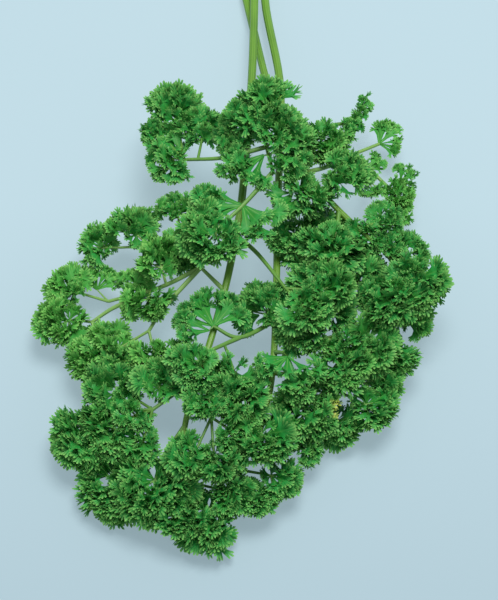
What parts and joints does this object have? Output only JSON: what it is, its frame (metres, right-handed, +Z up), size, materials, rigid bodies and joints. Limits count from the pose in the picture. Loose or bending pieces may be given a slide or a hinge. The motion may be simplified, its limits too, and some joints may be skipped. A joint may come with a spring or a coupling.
{
  "type": "curly parsley",
  "caption": "Small lying bunch of fresh curly parsley: long cut stalks that branch into sprays of crisped, finely toothed leaflets.",
  "frame": {"origin": "middle of the bunch's bounding box in X and Y, on the surface that it lies on", "axes": "+Y along the stalks to their cut ends, -Y to the tips of the fronds, +Z up from the surface, +X to the right of the picture"},
  "size_m": [0.1407, 0.2665, 0.0454],
  "materials": {
    "leaf": "fresh leaf, deep green, soft satin, a little light shines through",
    "stalk": "smooth ribbed stalk, light yellow green, soft satin"
  },
  "bodies": {
    "root": {"spray_left_1": "leaf", "spray_left_2": "leaf", "spray_left_3": "leaf", "spray_left_4": "leaf", "spray_left_5": "leaf", "spray_left_6": "leaf", "spray_left_7": "leaf", "spray_middle_1": "leaf", "spray_middle_2": "leaf", "spray_middle_3": "leaf", "spray_middle_4": "leaf", "spray_middle_5": "leaf", "spray_middle_6": "leaf", "spray_middle_7": "leaf", "spray_middle_8": "leaf", "spray_right_1": "leaf", "spray_right_2": "leaf", "spray_right_3": "leaf", "spray_right_4": "leaf", "spray_right_5": "leaf", "spray_right_6": "leaf", "spray_right_7": "leaf", "spray_right_8": "leaf", "spray_right_9": "leaf", "stalk_left": "stalk", "stalk_middle": "stalk", "stalk_right": "stalk"}
  },
  "joints": []
}
